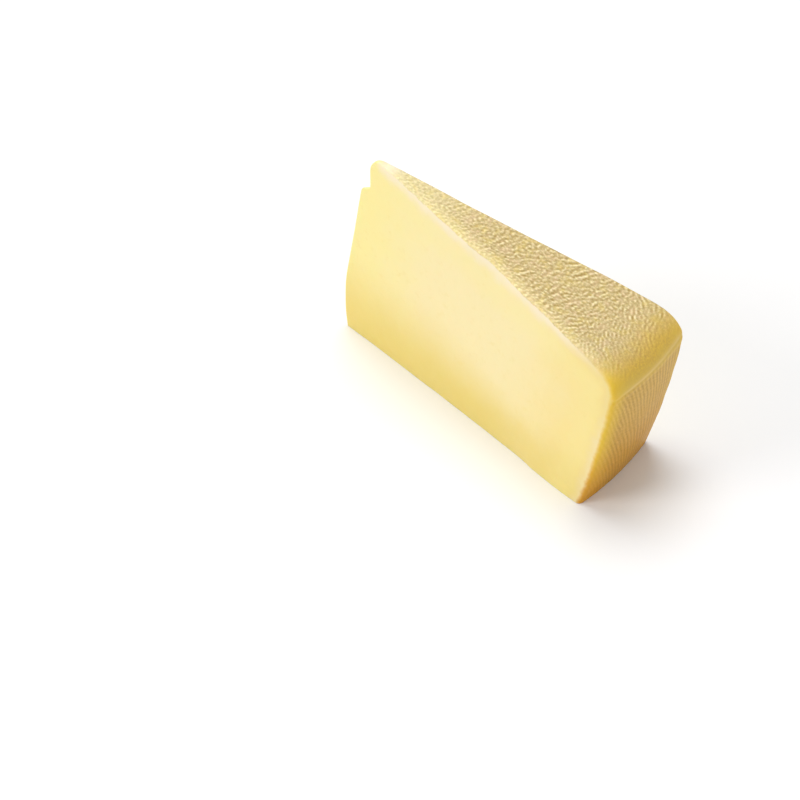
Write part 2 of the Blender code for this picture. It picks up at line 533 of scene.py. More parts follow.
@dataclass
class Tree:
    """A node tree under construction."""

    nodes: bpy.types.NodeTree

    def node(self, kind: str, settings: dict[str, Any], values: dict[Any, Any]) -> bpy.types.Node:
        """Adds a node.

        Args:
            kind: The node's type.
            settings: Its own properties, which are set first.
            values: Numbers, colours or links for its sockets, by name or place.

        Returns:
            The new node.
        """
        made = self.nodes.nodes.new(kind)
        for key, setting in settings.items():
            setattr(made, key, setting)
        for key, value in values.items():
            socket = made.inputs[key]
            if isinstance(value, Value):
                self.nodes.links.new(value.socket, socket)
            elif isinstance(value, bpy.types.NodeSocket):
                self.nodes.links.new(value, socket)
            else:
                socket.default_value = value
        return made

    def output(self, kind: str, settings: dict[str, Any], values: dict[Any, Any], key: Any = 0) -> Value:
        """Adds a node and returns one of its outputs."""
        return Value(self, self.node(kind, settings, values).outputs[key])

    def vector(self, operation: str, *parts: Any) -> Value:
        """Returns the outcome of one Vector Math node on these parts."""
        return self.output("ShaderNodeVectorMath", {"operation": operation}, dict(enumerate(parts)))

    def scaled(self, vector: Value, scale: Value) -> Value:
        """Returns a vector times a number."""
        return self.output("ShaderNodeVectorMath", {"operation": "SCALE"}, {0: vector, "Scale": scale})

    def axes(self, vector: Value) -> list[Value]:
        """Returns the three parts of a vector."""
        node = self.node("ShaderNodeSeparateXYZ", {}, {0: vector})
        return [Value(self, socket) for socket in node.outputs]

    def noise(self, spot: Value, size: Any, seed: Any, detail: float = 2.0, key: Any = 0) -> Value:
        """Returns a soft noise whose lumps have about this size, near 0.5 on the average."""
        settings = {"noise_dimensions": "4D"}
        values = {"Vector": spot, "W": seed, "Scale": 1.0 / size, "Detail": detail}
        return self.output("ShaderNodeTexNoise", settings, values, key)

    def ripples(self, spot: Value, pitch: Value, turn: Value, order: float) -> Value:
        """Returns wiggling, merging ripples that swing evenly about 0, by up to about 0.3.

        Args:
            spot: The place that the ripples are laid over.
            pitch: The distance from crest to crest.
            turn: The direction that the crests run in.
            order: How well they keep to that direction, from 0 to 1.

        Returns:
            The height of the ripples.
        """
        across = turn + math.pi / 2.0
        scale = GABOR_UNIT / pitch
        values = {"Vector": spot, "Scale": scale, "Anisotropy": order, "Orientation": across}
        return self.output("ShaderNodeTexGabor", {"gabor_type": "2D"}, values) - 0.5

    def mix(self, share: Any, start: Any, end: Any) -> Value:
        """Returns the colour at this share of the way from start to end."""
        values = {0: share, 6: start, 7: end}
        return self.output("ShaderNodeMix", {"data_type": "RGBA"}, values, 2)


@dataclass(frozen=True)
class Lumps:
    """A soft noise: the size of its lumps, its seed, its detail and how far it sways."""

    size: float
    seed: float
    detail: float = 2.0
    reach: float = 1.0

    def at(self, spot: Value) -> Value:
        """Returns the noise at a place, near 0.5 on the average."""
        return spot.tree.noise(spot, self.size, self.seed, self.detail)

    def sway(self, spot: Value) -> Value:
        """Returns the noise at a place as a swing about 0, by up to half of its reach."""
        return (self.at(spot) - 0.5) * self.reach


@dataclass(frozen=True)
class Rise:
    """A smooth rise from 0 at low to a share at high."""

    low: float
    high: float
    share: float = 1.0

    def of(self, value: Value) -> Value:
        """Returns how far this value has risen."""
        return value.step(self.low, self.high) * self.share

    def left(self, value: Value) -> Value:
        """Returns how much of the share this value has still to rise."""
        return (1.0 - value.step(self.low, self.high)) * self.share


@dataclass(frozen=True)
class ClothRelief:
    """The print of the draining cloth on the flat and of the mould on the rim, as Geometry Nodes."""

    turning: Rise = Rise(0.150, 0.176)
    ordered: Rise = Rise(0.090, 0.130)
    order_gain: float = 0.13
    contrast: Span = (1.30, 1.62)
    names: tuple[str, ...] = ("Row", "Thread", "Cross", "Shoulder")
    orders: tuple[float, ...] = (0.72, 0.35, 0.30, 0.70)
    shares: tuple[float, float, float] = (0.60, 0.50, 0.52)
    steep_share: float = 1.3
    fine_loss: float = 0.7
    bend_lump: float = 0.090
    weave_lump: float = 0.0060
    weave_patch: Span = (0.72, 0.56)
    rim_half: float = 0.030
    rim_levels: Span = (0.018, 0.058)
    rim_change: Rise = Rise(0.035, 0.060, 1.3)
    dash: Span = (0.7, 0.3)
    dash_shift: float = 0.5
    wander_lump: float = 0.008
    line_lump: float = 0.0050
    line_patch: Span = (0.24, 0.75)
    sizes: dict[str, float] = field(
        default_factory=lambda: {
            "Row Pitch": 0.0031,
            "Row Turn": math.radians(64.0),
            "Thread Pitch": 0.0021,
            "Thread Turn": math.radians(40.0),
            "Cross Pitch": 0.0026,
            "Cross Turn": math.radians(150.0),
            "Shoulder Pitch": 0.0024,
            "Shoulder Turn": math.radians(133.0),
            "Weave Height": 0.00026,
            "Line Pitch": 0.0030,
            "Line Height": 0.00018,
            "Front Slant": 0.60,
            "Back Slant": 0.14,
            "Seam Height": 0.00022,
            "Bend": 0.0100,
            "Wander": 0.0008,
            "Seed": 3.0,
        }
    )

    def group(self) -> bpy.types.NodeTree:
        """Builds the tree with a named input for each size."""
        group = bpy.data.node_groups.new("cloth_relief", "GeometryNodeTree")
        group.interface.new_socket("Geometry", in_out="INPUT", socket_type="NodeSocketGeometry")
        for name, size in self.sizes.items():
            socket = group.interface.new_socket(name, in_out="INPUT", socket_type="NodeSocketFloat")
            socket.default_value = size
        group.interface.new_socket("Material", in_out="INPUT", socket_type="NodeSocketMaterial")
        group.interface.new_socket("Geometry", in_out="OUTPUT", socket_type="NodeSocketGeometry")
        self.wire(Tree(group))
        return group

    def wire(self, tree: Tree) -> None:
        """Adds the nodes: the print's height, the moved points and the stored relief."""
        given = tree.node("NodeGroupInput", {}, {}).outputs
        size = {name: Value(tree, given[name]) for name in self.sizes}
        cloth = self.read(tree, "cloth", "FLOAT_VECTOR")
        radius, _, _ = tree.axes(self.read(tree, "wheel", "FLOAT_VECTOR"))
        flat = self.read(tree, "flat", "FLOAT")
        rim = self.read(tree, "rim", "FLOAT")
        seam = self.read(tree, "seam", "FLOAT")
        weave = self.weave(tree, cloth, radius, size)
        lines = self.lines(tree, cloth, size)
        relief = 0.5 + (weave - 0.5) * flat + (lines - 0.5) * rim
        rise = (weave - 0.5) * flat * size["Weave Height"] + (lines - 0.5) * rim * size["Line Height"]
        rise = rise + seam * size["Seam Height"]
        normal = tree.output("GeometryNodeInputNormal", {}, {})
        offset = tree.scaled(normal, rise)
        stored = tree.node(
            "GeometryNodeStoreNamedAttribute",
            {"data_type": "FLOAT", "domain": "POINT"},
            {"Geometry": given["Geometry"], "Name": "relief", "Value": relief},
        )
        moved = tree.node("GeometryNodeSetPosition", {}, {"Geometry": stored.outputs[0], "Offset": offset})
        whole = tree.node("GeometryNodeRealizeInstances", {}, {0: moved.outputs[0]})
        dressed = tree.node(
            "GeometryNodeSetMaterial", {}, {"Geometry": whole.outputs[0], "Material": given["Material"]}
        )
        tree.node("NodeGroupOutput", {}, {0: dressed.outputs[0]})

    def read(self, tree: Tree, name: str, data_type: str) -> Value:
        """Returns a mark of the skin's points."""
        node = tree.node("GeometryNodeInputNamedAttribute", {"data_type": data_type}, {"Name": name})
        return Value(tree, node.outputs[0])

    def wandering(self, tree: Tree, spot: Value, lump: float, reach: Value, seed: Value) -> Value:
        """Returns a place moved about unsteadily, by up to about this reach."""
        away = tree.vector("SUBTRACT", tree.noise(spot, lump, seed, 1.0, "Color"), (0.5, 0.5, 0.5))
        return tree.vector("ADD", spot, tree.scaled(away, reach * 2.0))

    def weave(self, tree: Tree, cloth: Value, radius: Value, size: dict[str, Value]) -> Value:
        """Returns the height of the weave that the cloth left on the flat and the shoulder.

        Args:
            tree: The tree under construction.
            cloth: The place on the cloth.
            radius: The distance from the wheel's axis.
            size: The named sizes.

        Returns:
            The height, near 0.5 on the average.
        """
        bent = self.wandering(tree, cloth, self.bend_lump, size["Bend"], size["Seed"])
        rows, threads, cross, steep = (
            tree.ripples(bent, size[f"{name} Pitch"], size[f"{name} Turn"], order)
            for name, order in zip(self.names, self.orders)
        )
        near_rim = self.turning.of(radius)
        rows = rows + (steep * self.steep_share - rows) * near_rim
        order = self.ordered.of(radius)
        gain = order * self.order_gain
        rows = rows * (self.shares[0] + gain)
        beads = threads * self.shares[1] + cross * (self.shares[2] - gain)
        beads = beads * (1.0 - self.fine_loss * near_rim)
        least, swing = self.weave_patch
        patch = least + swing * tree.noise(cloth, self.weave_lump, size["Seed"] + 1.0)
        contrast = self.contrast[0] + order * (self.contrast[1] - self.contrast[0])
        return 0.5 + (rows + beads) * patch * contrast

    def lines(self, tree: Tree, cloth: Value, size: dict[str, Value]) -> Value:
        """Returns the height of the slanting lines on the rim, near 0.5 on the average."""
        loose = self.wandering(tree, cloth, self.wander_lump, size["Wander"], size["Seed"] + 2.0)
        along, down, _ = tree.axes(loose)
        share = (along + self.rim_half) / (2.0 * self.rim_half)
        slant = size["Front Slant"] + (size["Back Slant"] - size["Front Slant"]) * share
        waves = 0.0
        for level, weight in zip(self.rim_levels, (self.rim_change.left(down), self.rim_change.of(down))):
            phase = (along - slant * (down - level)) / size["Line Pitch"]
            beat = (down / size["Line Pitch"] + phase * self.dash_shift) * math.tau
            dash = self.dash[0] + self.dash[1] * beat.math("COSINE", beat)
            waves = weight * dash * phase.math("COSINE", phase * math.tau) + waves
        least, swing = self.line_patch
        patch = tree.noise(cloth, self.line_lump, size["Seed"] + 3.0)
        return 0.5 + waves * (least + (patch - 0.5) * swing)

    def apply(self, piece: bpy.types.Object, material: bpy.types.Material) -> None:
        """Runs the tree on a piece and keeps the outcome as its plain mesh."""
        modifier = piece.modifiers.new("cloth_relief", "NODES")
        modifier.node_group = self.group()
        sockets = {item.name: item.identifier for item in modifier.node_group.interface.items_tree}
        for name, size in self.sizes.items():
            modifier[sockets[name]] = size
        modifier[sockets["Material"]] = material
        graph = bpy.context.evaluated_depsgraph_get()
        graph.update()
        evaluated = piece.evaluated_get(graph)
        mesh = bpy.data.meshes.new_from_object(evaluated, preserve_all_data_layers=True, depsgraph=graph)
        piece.modifiers.clear()
        piece.data = mesh
        mesh.name = piece.name


# The chunk


@dataclass
class ParmesanChunk:
    """The whole chunk as one closed piece."""

    wheel: Wheel = Wheel()
    nose: Nose = Nose()
    hand_cut: HandCut = HandCut()
    edge_round: Span = (0.0011, 0.0028)
    edge_growth: Span = (0.140, 0.190)
    edge_steps: int = 6
    edge_most: float = 0.55
    sharp_from: float = math.radians(50.0)
    column_size: float = 0.00043
    cut_spacing: float = 0.0015
    base_spacing: float = 0.0050
    base_inside: float = 0.02
    rind_start: float = 0.0175
    print_start: Span = (0.0170, 0.0260)
    print_thins: Span = (0.1640, 0.1860)
    print_left: float = 0.55
    print_end: Span = (0.1840, 0.2040)
    lines_start: Span = (0.0012, 0.0034)
    lines_fade: Span = (0.055, 0.100)
    lines_lost: float = 0.30
    outline: Outline = field(init=False)
    skin: Skin = field(default_factory=Skin)
    rind: kdtree.KDTree = field(init=False)

    def __post_init__(self) -> None:
        """Lays out the outline and the line that distances from the rind are taken to."""
        self.outline = Outline(self.wheel, self.nose)
        stations = self.outline.stations
        first = next(row for row, at in enumerate(stations) if at.spot.x > self.rind_start)
        self.rind = kdtree.KDTree(len(stations) - first)
        for row, station in enumerate(stations[first:]):
            self.rind.insert(station.spot.to_3d(), row)
        self.rind.balance()

    def mark(self, spot: Vector, angle: float, on_skin: float) -> Mark:
        """Returns the mark of a point.

        Args:
            spot: Its radius and depth.
            angle: Its angle from the middle of the sector.
            on_skin: 1 on the rind itself, 0 on a cut.

        Returns:
            The mark.
        """
        arc = spot.x * angle
        outer = spot.x > self.wheel.rim_radius / 2.0
        below = self.wheel.below_seam(spot.y, angle)
        on_rim = outer and below > 0.0
        way = spot.x + spot.y
        rise = smooth_step(*self.print_start, spot.x)
        fall = blend(1.0, self.print_left, smooth_step(*self.print_thins, way))
        fall *= 1.0 - smooth_step(*self.print_end, way)
        flat = 0.0 if on_rim else rise * fall * on_skin
        lines = smooth_step(*self.lines_start, below)
        lines *= 1.0 - self.lines_lost * smooth_step(*self.lines_fade, spot.y)
        cloth = (arc, spot.y, 0.0) if on_rim else (spot.x * math.cos(angle), arc, 0.0)
        return Mark(
            inside=self.rind.find(spot.to_3d())[2],
            edge=max(self.wheel.sector / 2.0 - abs(angle), 0.0) * spot.x,
            flat=flat,
            rim=lines * on_skin if on_rim else 0.0,
            seam=self.wheel.seam(spot.y, angle) * on_skin if outer else 0.0,
            cloth=Vector(cloth),
            wheel=Vector((spot.x, spot.y, arc)),
        )

    def add(self, spot: Vector, angle: float, on_skin: float, grounded: bool) -> int:
        """Adds one point of the chunk to the skin.

        Args:
            spot: Its radius and depth.
            angle: Its angle from the middle of the sector.
            on_skin: 1 on the rind itself, 0 on a cut.
            grounded: Whether it lies on the ground.

        Returns:
            The point's number.
        """
        to_front = max(-2.0 * angle / self.wheel.sector, 0.0)
        point = self.hand_cut.apply(self.wheel.to_space(spot, angle), spot, to_front)
        if grounded:
            point.z = 0.0
        return self.skin.add(point, self.mark(spot, angle, on_skin))

    def row(self, station: Station, grounded: bool) -> list[int]:
        """Adds one row of points across the rind, with its rounded ends.

        Args:
            station: The row's place on the outline.
            grounded: Whether the row lies on the ground.

        Returns:
            The numbers of its points, from the cut in front to the one behind.
        """
        half = station.spot.x * self.wheel.sector / 2.0
        grown = smooth_step(*self.edge_growth, station.spot.x)
        round_off = min(blend(*self.edge_round, grown), self.edge_most * half)
        straight = half - round_off
        steps = 4 * math.ceil(half / (2.0 * self.column_size))
        turns = [math.pi / 2.0 * step / self.edge_steps for step in range(self.edge_steps, 0, -1)]
        corner = [(straight + round_off * math.sin(turn), 1.0 - math.cos(turn)) for turn in turns]
        middle = [(blend(-straight, straight, step / steps), 0.0) for step in range(steps + 1)]
        across = [(-side, drop) for side, drop in corner] + middle + corner[::-1]
        numbers = []
        for side, drop in across:
            angle = side / station.spot.x
            spot = self.outline.place(station.stretch, station.share, station.spot, angle)
            spot = spot - station.outward * round_off * drop
            numbers.append(self.add(spot, angle, 1.0 - drop, grounded))
        return numbers

    def zip_ends(self, low: Sequence[int], high: Sequence[int]) -> None:
        """Joins two rows, their rounded ends face to face and their middles by share."""
        steps = self.edge_steps
        self.skin.zip_rows(low[: steps + 1], high[: steps + 1])
        self.skin.zip_rows(low[steps:-steps], high[steps:-steps])
        self.skin.zip_rows(low[-steps - 1 :], high[-steps - 1 :])

    def base_line(self, start: int, end: int, angle: float) -> list[int]:
        """Adds the points on the ground along one cut, between the nose's foot and the rim's."""
        low = self.skin.marks[start].wheel.x
        high = self.skin.marks[end].wheel.x
        steps = round((high - low) / self.cut_spacing)
        numbers = []
        for step in range(1, steps):
            radius = blend(low, high, step / steps)
            spot = Vector((radius, self.wheel.base_depth(radius, angle)))
            numbers.append(self.add(spot, angle, 0.0, True))
        return numbers

    def cut(self, rows: Sequence[Sequence[int]], side: int, base: Sequence[int]) -> None:
        """Fills one of the two tall cuts.

        Args:
            rows: The rind's rows of points.
            side: 0 for the cut in front, -1 for the one behind.
            base: The points on the ground, from the nose to the rim.
        """
        angle = self.wheel.sector / 2.0 * (-1.0 if side == 0 else 1.0)
        loop = [row[side] for row in rows] + list(reversed(base))
        spots = [self.skin.marks[number].wheel.xy for number in loop]

        def add(spot: Vector) -> int:
            """Adds a point inside the cut, with the break-up of the paste."""
            number = self.add(spot, angle, 0.0, False)
            point = self.skin.points[number]
            away = min(self.skin.marks[number].inside, point.z)
            self.skin.points[number] = point + self.hand_cut.crumble(point, away)
            return number

        self.skin.fill(loop, spots, self.cut_spacing, add)

    def foot(self, loop: Sequence[int]) -> None:
        """Fills the slanted cut underneath, which lies on the ground."""
        spots = [self.skin.points[number].xy for number in loop]
        low_mark = self.skin.marks[loop[0]]

        def add(spot: Vector) -> int:
            """Adds a point on the ground."""
            mark = Mark(self.base_inside, 0.0, 0.0, 0.0, 0.0, low_mark.cloth, low_mark.wheel)
            return self.skin.add(spot.to_3d(), mark)

        self.skin.fill(loop, spots, self.base_spacing, add)

    def centred(self) -> None:
        """Moves the skin over the middle of the CAD solid's box."""
        low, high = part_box(NODE)
        for axis in (0, 1):
            places = [point[axis] for point in self.skin.points]
            shift = (low[axis] + high[axis] - min(places) - max(places)) / 2.0
            for point in self.skin.points:
                point[axis] += shift

    def build(self, material: bpy.types.Material, relief: ClothRelief) -> bpy.types.Object:
        """Makes the piece, presses the cloth's print into it and ties it to the frame.

        Args:
            material: The finish of the whole piece.
            relief: The print on the rind.

        Returns:
            The finished piece.
        """
        stations = self.outline.stations
        last = len(stations) - 1
        rows = [self.row(station, at in (0, last)) for at, station in enumerate(stations)]
        for low, high in zip(rows, rows[1:]):
            self.zip_ends(low, high)
        half = self.wheel.sector / 2.0
        front = self.base_line(rows[0][0], rows[-1][0], -half)
        behind = self.base_line(rows[0][-1], rows[-1][-1], half)
        self.cut(rows, 0, front)
        self.cut(rows, -1, behind)
        self.foot([*rows[0], *behind, *reversed(rows[-1]), *reversed(front)])
        self.centred()
        piece = placed("parmesan_chunk_dressed", self.skin.to_mesh("parmesan_chunk"))
        relief.apply(piece, material)
        piece.data.set_sharp_from_angle(angle=self.sharp_from)
        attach(piece, "root")
        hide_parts(NODE)
        return piece


# The finishes


@dataclass(frozen=True)
class Marks:
    """The marks of the skin, read back inside a material."""

    spot: Value
    inside: Value
    edge: Value
    seam: Value
    relief: Value
    radius: Value
    depth: Value
    arc: Value


@dataclass(frozen=True)
class PasteFinish:
    """The pale, close-grained paste that the cuts show."""

    body: Colour = paint(249, 233, 155)
    heart: Colour = paint(249, 231, 175)
    deep: Colour = paint(248, 224, 146)
    # low and foot are painted shade with warm reflected light: darker and more golden low down near the
    # rim and toward the foot of the cut.
    low: Colour = paint(236, 211, 116)
    foot: Colour = paint(234, 210, 114)
    band: Colour = paint(249, 234, 204)
    under_rind: Colour = paint(238, 214, 128)
    cloud: Lumps = Lumps(0.030, 1.0, 3.0)
    fleck: Lumps = Lumps(0.0035, 2.0)
    waver: Lumps = Lumps(0.007, 3.0, 2.0, 0.008)
    oil: Lumps = Lumps(0.006, 4.0, 2.0, 0.25)
    grain: Lumps = Lumps(0.0014, 5.0, 3.0)
    cloud_out: float = 0.06
    cloud_up: float = 0.012
    heart_out: Rise = Rise(0.0, 0.08)
    deep_out: Rise = Rise(0.12, 0.19)
    # The next seven place the painted shade and warm reflected light, low down near the rim and toward the
    # foot of the cut.
    low_shade_out: Rise = Rise(0.15, 0.20)
    low_down: Rise = Rise(0.06, 0.11)
    foot_shade_slant: float = 0.171
    foot_shade_span: Span = (0.068, 0.122)
    foot_shade_sinks: Rise = Rise(0.06, 0.14, 0.024)
    foot_shade_share: float = 0.90
    foot_shade_thins: Rise = Rise(0.11, 0.18, 0.42)
    fleck_rise: Rise = Rise(0.55, 0.80, 0.25)
    lower_down: Rise = Rise(0.015, 0.045)
    near_in: Rise = Rise(0.002, 0.014)
    near_out: Rise = Rise(0.13, 0.18)
    near_share: Span = (0.75, 0.30)
    beside_in: Rise = Rise(0.004, 0.010)
    beside_ends: Rise = Rise(0.014, 0.030, 0.35)
    band_in: Rise = Rise(0.0005, 0.0090)
    band_out: Rise = Rise(0.150, 0.190)
    band_share: tuple[float, float, float] = (0.84, 0.68, 0.28)
    rough: float = 0.50

    def colour(self, tree: Tree, marks: Marks) -> Value:
        """Returns the paste's colour, paler in a band just inside the rind, with painted shade and warm
        reflected light low down near the rim and toward the foot.
        """
        radius = marks.radius
        cloud = self.cloud.sway(marks.spot)
        out = radius + cloud * self.cloud_out
        tone = tree.mix(self.heart_out.of(out), self.body, self.heart)
        tone = tree.mix(self.deep_out.of(out), tone, self.deep)
        # Painted shade with warm reflected light, low down near the rim and then toward the foot of the
        # cut.
        tone = tree.mix(self.low_shade_out.of(radius) * self.low_down.of(marks.depth), tone, self.low)
        level = marks.depth + self.foot_shade_slant * radius + cloud * self.cloud_up
        foot = level.step(self.foot_shade_span[0] + self.foot_shade_sinks.of(radius), self.foot_shade_span[1])
        tone = tree.mix(foot * (self.foot_shade_share - self.foot_shade_thins.of(radius)), tone, self.foot)
        tone = tree.mix(self.fleck_rise.of(self.fleck.at(marks.spot)), tone, self.under_rind)
        inner = marks.inside + self.waver.sway(marks.spot)
        lower = self.lower_down.of(marks.depth)
        near = self.near_in.left(inner) * self.near_out.of(radius)
        most, loss = self.near_share
        tone = tree.mix(near * (most - loss * lower), tone, self.under_rind)
        tone = tree.mix(self.beside_in.of(inner) * self.beside_ends.left(inner), tone, self.body)
        most, loss, kept = self.band_share
        share = most - self.band_out.of(radius) * (loss - kept * lower)
        return tree.mix(self.band_in.left(inner) * share, tone, self.band)

    def roughness(self, marks: Marks) -> Value:
        """Returns the paste's roughness, a little oilier in patches."""
        return self.rough + self.oil.sway(marks.spot)

    def height(self, marks: Marks) -> Value:
        """Returns the fine grain of the paste, from 0 to 1."""
        return self.grain.at(marks.spot)


@dataclass(frozen=True)
class RindFinish:
    """The rind: cloth-marked on the flat, smooth and golden on the shoulder, lined on the rim."""

    # The weave's crests and hollows are partly the print's own colour and partly a painted highlight on
    # the crests and painted shade in the hollows.
    weave_top_and_highlight: Colour = paint(255, 238, 186)
    weave_hollow_and_shade: Colour = paint(169, 140, 71)
    blush: Colour = paint(230, 198, 156)
    yellow: Colour = paint(234, 208, 112)
    nose_pale: Colour = paint(248, 240, 182)
    nose_bare: Colour = paint(251, 239, 205)
    # flat_edge_glow is a painted glow of light through the cheese, on the flat next to the cut in front.
    flat_edge_glow: Colour = paint(238, 220, 142)
    shoulder: Colour = paint(206, 164, 76)
    # shoulder_bright_and_painted_light streaks the shoulder with the print and is also painted on as a
    # glow near the cuts and as painted light lower down toward the seam.
    shoulder_bright_and_painted_light: Colour = paint(233, 196, 76)
    line_top: Colour = paint(234, 192, 88)
    line_groove: Colour = paint(194, 146, 50)
    low_top: Colour = paint(224, 164, 36)
    low_groove: Colour = paint(188, 130, 22)
    seam: Colour = paint(240, 206, 128)
    # edge_glow and edge_glow_low are a painted glow of light through the cheese near the cuts, on the
    # shoulder and the rim.
    edge_glow: Colour = paint(246, 205, 50)
    edge_glow_low: Colour = paint(228, 160, 14)
    cloud: Lumps = Lumps(0.018, 11.0, 3.0, 0.020)
    grit: Lumps = Lumps(0.0010, 12.0, 2.0, 0.90)
    patches: Lumps = Lumps(0.0050, 13.0)
    wear: Lumps = Lumps(0.004, 14.0, 2.0, 0.2)
    grain: Lumps = Lumps(0.0011, 15.0, 3.0)
    front_arc: Rise = Rise(-0.002, 0.002)
    # crest and crest_bend shape the painted highlight on the print's thin crests.
    crest: Rise = Rise(-0.10, 1.10)
    crest_bend: Span = (0.4, 0.6)
    # The next five shape the painted glow along the cut in front, on the flat.
    glow_by_edge: Rise = Rise(0.0005, 0.0090)
    edge_thins: Rise = Rise(0.09, 0.16, 0.50)
    edge_starts: Rise = Rise(0.030, 0.080, 0.6)
    edge_light: float = 0.26
    edge_glow_share: float = 0.30
    nose_light: Rise = Rise(0.045, 0.100, 0.09)
    blush_rise: Rise = Rise(0.50, 0.70, 0.40)
    yellow_rise: Rise = Rise(0.30, 0.50, 0.35)
    pale_out: Rise = Rise(0.020, 0.085, 0.38)
    bare_out: Rise = Rise(0.017, 0.030)
    fine_shares: Span = (0.7, 0.3)
    fine_rise: Rise = Rise(0.25, 0.75)
    # The next two paint a glow near the cuts and painted light lower down on the shoulder.
    glow_in: Rise = Rise(0.002, 0.020, 0.65)
    painted_light_down: Rise = Rise(0.004, 0.012, 0.68)
    flat_ends: Rise = Rise(0.168, 0.198)
    low_down: Rise = Rise(0.022, 0.085, 0.80)
    line_rise: Rise = Rise(-0.05, 1.05)
    rim_down: Rise = Rise(0.0120, 0.0190)
    rim_out: Rise = Rise(0.15, 0.17)
    seam_shares: Span = (0.55, -0.5)
    # The next four shape the painted glow near the cuts, wider lower down and stronger in front.
    edge_down: Rise = Rise(0.045, 0.100)
    edge_width: Span = (0.0130, 0.0100)
    edge_out: Rise = Rise(0.176, 0.192)
    glow_shares: Span = (0.20, 0.60)
    rough: float = 0.46
    rough_hollow: float = 0.12

    def flat_tone(self, tree: Tree, marks: Marks, raised: Value, front: Value) -> Value:
        """Returns the tone of the cloth-marked flat, with a painted highlight on the print's crests,
        painted shade in its hollows and a painted glow along the cut in front.

        Args:
            tree: The tree under construction.
            marks: The marks of the skin.
            raised: The height of the print, with its grit.
            front: 1 on the half of the chunk in front, 0 behind.

        Returns:
            The tone.
        """
        radius = marks.radius
        crest = self.crest.of(raised)
        # A painted glow of light through the cheese along the cut in front, lighter and more golden.
        glow_by_edge = front * self.glow_by_edge.left(marks.edge) * (1.0 - self.edge_thins.of(radius))
        glow_by_edge = glow_by_edge * (1.0 - self.edge_starts.left(radius))
        # Painted highlight on the print's crests and painted shade in its hollows, over the print's own
        # colour.
        light = crest * (self.crest_bend[0] + self.crest_bend[1] * crest)
        light = light + glow_by_edge * self.edge_light + self.nose_light.left(radius)
        tone = tree.mix(light, self.weave_hollow_and_shade, self.weave_top_and_highlight)
        patches = self.patches.at(marks.spot)
        tone = tree.mix(self.blush_rise.of(patches), tone, self.blush)
        tone = tree.mix(self.yellow_rise.left(patches), tone, self.yellow)
        tone = tree.mix(self.pale_out.left(radius), tone, self.nose_pale)
        tone = tree.mix(self.bare_out.left(radius), tone, self.nose_bare)
        return tree.mix(glow_by_edge * self.edge_glow_share, tone, self.flat_edge_glow)

    def shoulder_tone(self, tree: Tree, marks: Marks, fine: Value) -> Value:
        """Returns the tone of the golden shoulder, streaked by the print and the clouds, with a painted
        glow near the cuts and painted light lower down toward the seam.
        """
        tone = tree.mix(self.fine_rise.of(fine), self.shoulder, self.shoulder_bright_and_painted_light)
        # Painted glow near the cuts, then painted light lower down, where the shoulder turns away from the
        # light.
        tone = tree.mix(1.0 - self.glow_in.left(marks.edge), self.shoulder_bright_and_painted_light, tone)
        return tree.mix(self.painted_light_down.of(marks.depth), tone, self.shoulder_bright_and_painted_light)

    def rim_tone(self, tree: Tree, marks: Marks, raised: Value) -> Value:
        """Returns the tone of the lined rim, deeper toward the ground."""
        low = self.low_down.of(marks.depth)
        top = tree.mix(low, self.line_top, self.low_top)
        groove = tree.mix(low, self.line_groove, self.low_groove)
        return tree.mix(self.line_rise.of(raised), groove, top)

    def colour(self, tree: Tree, marks: Marks) -> Value:
        """Returns the rind's colour from the print, the place on the wheel and the cut's nearness, with a
        painted glow near the cuts.
        """
        front = self.front_arc.left(marks.arc)
        raised = marks.relief + self.grit.sway(marks.spot)
        fine = raised * self.fine_shares[0] + self.cloud.at(marks.spot) * self.fine_shares[1]
        ends = marks.radius + marks.depth + self.cloud.sway(marks.spot)
        flat = self.flat_tone(tree, marks, raised, front)
        tone = tree.mix(self.flat_ends.of(ends), flat, self.shoulder_tone(tree, marks, fine))
        at_rim = self.rim_down.of(marks.depth) * self.rim_out.of(marks.radius)
        tone = tree.mix(at_rim, tone, self.rim_tone(tree, marks, raised))
        ridge, groove = self.seam_shares
        tone = tree.mix(marks.seam.math("MAXIMUM", marks.seam, 0.0) * ridge, tone, self.seam)
        tone = tree.mix(marks.seam.math("MINIMUM", marks.seam, 0.0) * groove, tone, self.line_groove)
        # A painted glow of light through the cheese near the cuts, wider and deeper in colour lower down,
        # stronger in front.
        lower = self.edge_down.of(marks.depth)
        width = self.edge_width[0] + self.edge_width[1] * lower
        glow_by_cut = (1.0 - marks.edge.step(0.0, width)) * self.edge_out.of(marks.radius)
        glow = tree.mix(lower, self.edge_glow, self.edge_glow_low)
        return tree.mix(glow_by_cut * (self.glow_shares[0] + self.glow_shares[1] * front), tone, glow)

    def roughness(self, marks: Marks) -> Value:
        """Returns the rind's roughness, duller in the hollows."""
        rough = self.rough + self.rough_hollow * (1.0 - marks.relief)
        return rough + self.wear.sway(marks.spot)

    def height(self, marks: Marks) -> Value:
        """Returns the fine roughness of the rind, from 0 to 1."""
        return self.grain.at(marks.spot)


